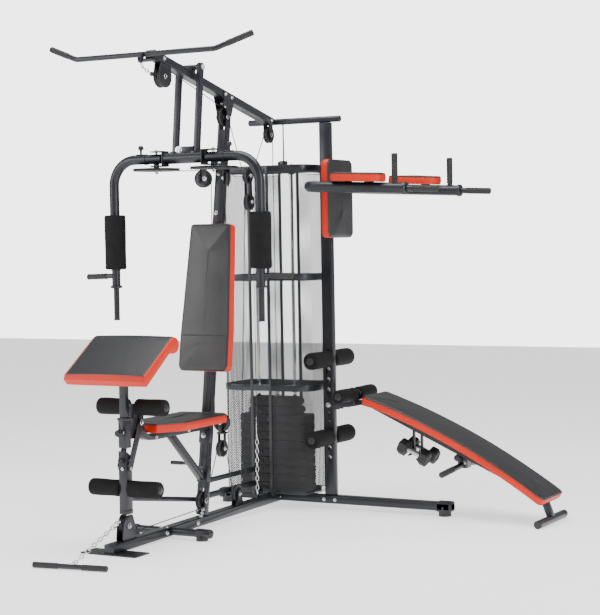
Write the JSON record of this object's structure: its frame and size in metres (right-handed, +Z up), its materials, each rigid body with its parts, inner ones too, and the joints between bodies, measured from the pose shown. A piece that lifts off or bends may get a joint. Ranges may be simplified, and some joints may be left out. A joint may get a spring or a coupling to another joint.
{
  "type": "multi station home gym",
  "caption": "Home gym with butterfly and press arms, lat pull, leg developer, curl desk, dip station, weight stack and a hooked-on sit-up bench.",
  "frame": {"origin": "centre of the front foot plate's underside, on the floor", "axes": "+Z up, +Y back from the foot plate along the base beam to the rear stabiliser, +X towards the dip station and bench"},
  "size_m": [1.9655, 2.1494, 2.1657],
  "materials": {
    "frame_steel": "satin powder coat",
    "black_steel": "satin black powder coat",
    "bright_chrome": "polished chrome",
    "vinyl": "black grained vinyl top with red vinyl sides",
    "foam": "fine matte foam skin",
    "weight": "matte black, cement filled",
    "pulley_plastic": "moulded nylon",
    "mesh_steel": "light grey perforated sheet",
    "cable": "black nylon coating over wire rope"
  },
  "bodies": {
    "root": {"base_beam": "frame_steel", "front_stabilizer": "frame_steel", "rear_stabilizer": "frame_steel", "main_upright": "frame_steel", "top_beam": "frame_steel", "pull_up_bar": "black_steel", "dip_post": "frame_steel", "seat_frame": "frame_steel", "leg_stop_bar": "black_steel", "rear_low_brace": "frame_steel", "seat_pad": "vinyl", "backrest_pad": "vinyl", "dip_frame": "frame_steel", "dip_back_pad": "vinyl", "dip_pad_near": "vinyl", "dip_pad_far": "vinyl", "post_rollers_upper": "foam", "post_rollers_lower": "foam", "guide_frame": "black_steel", "shroud_frame": "black_steel", "shroud_left": "mesh_steel", "shroud_right": "mesh_steel", "press_cable": "cable", "low_cable": "cable", "lat_cable": "cable", "weight_plate_2": "weight", "weight_plate_3": "weight", "weight_plate_4": "weight", "weight_plate_5": "weight", "weight_plate_6": "weight", "weight_plate_7": "weight", "weight_plate_8": "weight", "weight_plate_9": "weight"},
    "weight_carriage": {"weight_plate_1": "weight", "weight_head": "weight"},
    "selector": {"selector_pin": "bright_chrome"},
    "press": {"press_frame": "frame_steel"},
    "left_arm": {"left_fly_arm": "frame_steel", "left_fly_foam": "foam"},
    "right_arm": {"right_fly_arm": "frame_steel", "right_fly_foam": "foam"},
    "lat_bar_body": {"lat_bar": "black_steel"},
    "low_bar_body": {"low_bar": "black_steel"},
    "leg_developer": {"leg_lever": "frame_steel"},
    "curl_desk": {"preacher_post": "frame_steel", "preacher_pad": "vinyl"},
    "bench": {"bench_frame": "frame_steel", "bench_pad": "vinyl"},
    "dumbbell_near_body": {"dumbbell_near": "weight"},
    "dumbbell_far_body": {"dumbbell_far": "weight"},
    "block_upper": {"floating_block_upper": "pulley_plastic"},
    "block_lower": {"floating_block_lower": "pulley_plastic"},
    "lat_pulley_body": {"lat_pulley": "pulley_plastic"},
    "upper_slot_pulley_body": {"upper_slot_pulley": "pulley_plastic"},
    "rear_top_pulley_body": {"rear_top_pulley": "pulley_plastic"},
    "low_pulley_body": {"low_pulley": "pulley_plastic"},
    "lower_slot_pulley_body": {"lower_slot_pulley": "pulley_plastic"},
    "rear_low_pulley_body": {"rear_low_pulley": "pulley_plastic"},
    "press_pulley_left_body": {"press_pulley_left": "pulley_plastic"},
    "press_pulley_right_body": {"press_pulley_right": "pulley_plastic"}
  },
  "joints": [
    {"name": "weight_lift", "type": "slide", "parent": "root", "child": "weight_carriage", "axis": [0, 0, 1], "range_m": [0, 0.6], "deforming": ["lat_cable"]},
    {"name": "selector_pin_pull", "type": "slide", "parent": "weight_carriage", "child": "selector", "axis": [0, -1, 0], "range_m": [0, 0.1]},
    {"name": "lat_pull", "type": "slide", "parent": "root", "child": "lat_bar_body", "axis": [0, 0, -1], "range_m": [0, 0.6]},
    {"name": "press_swing", "type": "hinge", "parent": "root", "child": "press", "pos_m": [0, 0.658, 2.068], "axis": [-1, 0, 0], "range_deg": [0, 40], "deforming": ["press_cable"]},
    {"name": "left_fly", "type": "hinge", "parent": "press", "child": "left_arm", "pos_m": [-0.15, 0.6, 1.665], "axis": [0, 0, 1], "range_deg": [0, 75]},
    {"name": "right_fly", "type": "hinge", "parent": "press", "child": "right_arm", "pos_m": [0.15, 0.6, 1.665], "axis": [0, 0, -1], "range_deg": [0, 75]},
    {"name": "leg_raise", "type": "hinge", "parent": "root", "child": "leg_developer", "pos_m": [0, 0.171, 0.533], "axis": [-1, 0, 0], "range_deg": [0, 75]},
    {"name": "curl_desk_height", "type": "slide", "parent": "root", "child": "curl_desk", "axis": [0, 0, 1], "range_m": [0, 0.08]},
    {"name": "low_bar_pull", "type": "slide", "parent": "root", "child": "low_bar_body", "axis": [0, -1, 0], "range_m": [0, 0.5], "deforming": ["low_cable"]},
    {"name": "block_upper_travel", "type": "slide", "parent": "root", "child": "block_upper", "axis": [0, 0, -1], "range_m": [0, 0.25]},
    {"name": "block_lower_travel", "type": "slide", "parent": "root", "child": "block_lower", "axis": [0, 0, 1], "range_m": [0, 0.3]},
    {"name": "bench_lift", "type": "hinge", "parent": "root", "child": "bench", "pos_m": [0.2915, 1.394, 0.5], "axis": [0, -1, 0], "range_deg": [0, 40]},
    {"name": "dumbbell_near_off", "type": "slide", "parent": "bench", "child": "dumbbell_near_body", "axis": [0, -1, 0], "range_m": [0, 0.15]},
    {"name": "dumbbell_far_off", "type": "slide", "parent": "bench", "child": "dumbbell_far_body", "axis": [0, 1, 0], "range_m": [0, 0.15]},
    {"name": "lat_pulley_spin", "type": "hinge", "parent": "root", "child": "lat_pulley_body", "pos_m": [0, 0.435, 2.012], "axis": [1, 0, 0], "range_deg": [0, 786.9]},
    {"name": "upper_slot_pulley_spin", "type": "hinge", "parent": "root", "child": "upper_slot_pulley_body", "pos_m": [0, 0.936, 1.864], "axis": [1, 0, 0], "range_deg": [0, 844.6]},
    {"name": "rear_top_pulley_spin", "type": "hinge", "parent": "root", "child": "rear_top_pulley_body", "pos_m": [0, 1.3572, 1.802], "axis": [1, 0, 0], "range_deg": [0, 936.2]},
    {"name": "low_pulley_spin", "type": "hinge", "parent": "root", "child": "low_pulley_body", "pos_m": [0, 0.084, 0.104], "axis": [1, 0, 0], "range_deg": [-780.5, 0]},
    {"name": "lower_slot_pulley_spin", "type": "hinge", "parent": "root", "child": "lower_slot_pulley_body", "pos_m": [0, 0.684, 0.124], "axis": [1, 0, 0], "range_deg": [-780.5, 0]},
    {"name": "rear_low_pulley_spin", "type": "hinge", "parent": "root", "child": "rear_low_pulley_body", "pos_m": [0, 0.996, 0.112], "axis": [1, 0, 0], "range_deg": [-780.5, 0]},
    {"name": "press_pulley_left_spin", "type": "hinge", "parent": "root", "child": "press_pulley_left_body", "pos_m": [-0.062, 0.854, 1.5802], "axis": [0.7411, -0.6713, 0], "range_deg": [0, 217.6]},
    {"name": "press_pulley_right_spin", "type": "hinge", "parent": "root", "child": "press_pulley_right_body", "pos_m": [0.062, 0.854, 1.5802], "axis": [0.7411, 0.6713, 0], "range_deg": [0, 217.6]}
  ],
  "couplings": [
    {"joint": "lat_pull", "follows": "weight_lift", "ratio": 1},
    {"joint": "block_upper_travel", "follows": "low_bar_pull", "ratio": 0.5},
    {"joint": "block_lower_travel", "follows": "press_swing", "m_per_rad": 0.42},
    {"joint": "lat_pulley_spin", "follows": "weight_lift", "rad_per_m": 22.831},
    {"joint": "upper_slot_pulley_spin", "follows": "weight_lift", "rad_per_m": 24.51},
    {"joint": "rear_top_pulley_spin", "follows": "weight_lift", "rad_per_m": 27.174},
    {"joint": "low_pulley_spin", "follows": "low_bar_pull", "rad_per_m": -27.174},
    {"joint": "lower_slot_pulley_spin", "follows": "low_bar_pull", "rad_per_m": -27.174},
    {"joint": "rear_low_pulley_spin", "follows": "low_bar_pull", "rad_per_m": -27.174},
    {"joint": "press_pulley_left_spin", "follows": "left_fly", "ratio": 2.8614},
    {"joint": "press_pulley_right_spin", "follows": "right_fly", "ratio": 2.8614}
  ]
}
